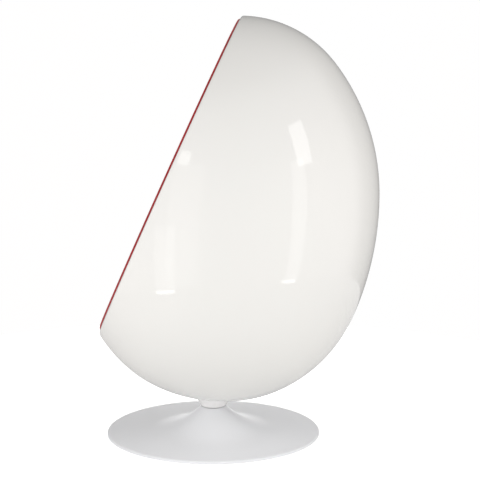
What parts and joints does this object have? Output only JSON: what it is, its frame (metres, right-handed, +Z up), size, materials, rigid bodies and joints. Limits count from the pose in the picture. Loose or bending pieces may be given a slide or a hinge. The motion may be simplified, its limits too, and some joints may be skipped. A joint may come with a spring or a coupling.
{
  "type": "swivel egg armchair",
  "caption": "Swivel armchair with a white glossy egg-shaped shell cut open at a slant, red padded inside with loose cushions, on a round white trumpet pedestal.",
  "frame": {"origin": "on the floor, on the swivel axis, at the middle of the foot ring underside", "axes": "+Z up along the swivel axis; at rest the opening and the seat face -Y, and the back of the shell is at +Y"},
  "size_m": [0.86, 0.864, 1.3016],
  "materials": {
    "shell_gelcoat": "high gloss",
    "trim_piping": "woven piping",
    "liner_foam": "open-cell foam",
    "upholstery_fabric": "wool upholstery",
    "cushion_fabric": "wool upholstery",
    "strip_tape": "hook and loop tape",
    "neck_paint": "gloss paint",
    "pedestal_paint": "satin paint",
    "plated_steel": "zinc plated",
    "turned_steel": "turned",
    "bush_plastic": "matt",
    "board_wood": "birch plywood",
    "black_steel": "black paint",
    "ballast_iron": "primed",
    "foot_rubber": "matt"
  },
  "bodies": {
    "pedestal": {"spindle": "turned_steel", "keeper_washer": "plated_steel", "keeper_circlip": "plated_steel", "base_column": "black_steel", "column_bolts": "plated_steel", "column_washers": "plated_steel", "ballast_disc": "ballast_iron", "foot_ring": "foot_rubber", "base_trumpet": "pedestal_paint", "bearing_lower_race": "turned_steel"},
    "chair": {"outer_shell": "shell_gelcoat", "rim_trim": "trim_piping", "liner_foam": "liner_foam", "lining_back": "upholstery_fabric", "lining_back_left": "upholstery_fabric", "lining_back_right": "upholstery_fabric", "lining_side_left": "upholstery_fabric", "lining_side_right": "upholstery_fabric", "lining_front_left": "upholstery_fabric", "lining_front_right": "upholstery_fabric", "lining_front": "upholstery_fabric", "lining_crown": "upholstery_fabric", "lining_crown_left": "upholstery_fabric", "lining_crown_right": "upholstery_fabric", "crown_button": "upholstery_fabric", "seat_base_foam": "liner_foam", "seat_cushion": "cushion_fabric", "back_cushion": "cushion_fabric", "head_cushion": "cushion_fabric", "cushion_strips": "strip_tape", "mounting_board": "board_wood", "hub_plate": "black_steel", "board_screws": "plated_steel", "hub_tube": "black_steel", "lower_bush": "bush_plastic", "upper_bush": "bush_plastic", "hub_bolts": "plated_steel", "hub_washers": "plated_steel", "neck_cone": "neck_paint", "bearing_upper_race": "turned_steel"},
    "bearing": {"bearing_cage": "bush_plastic", "bearing_balls": "turned_steel"}
  },
  "joints": [
    {"name": "swivel", "type": "hinge", "parent": "pedestal", "child": "chair", "pos_m": [0, 0, 0], "axis": [0, 0, 1], "continuous": true},
    {"name": "bearing_roll", "type": "hinge", "parent": "pedestal", "child": "bearing", "pos_m": [0, 0, 0.0905], "axis": [0, 0, 1], "continuous": true}
  ],
  "couplings": [
    {"joint": "bearing_roll", "follows": "swivel", "ratio": 0.5}
  ]
}
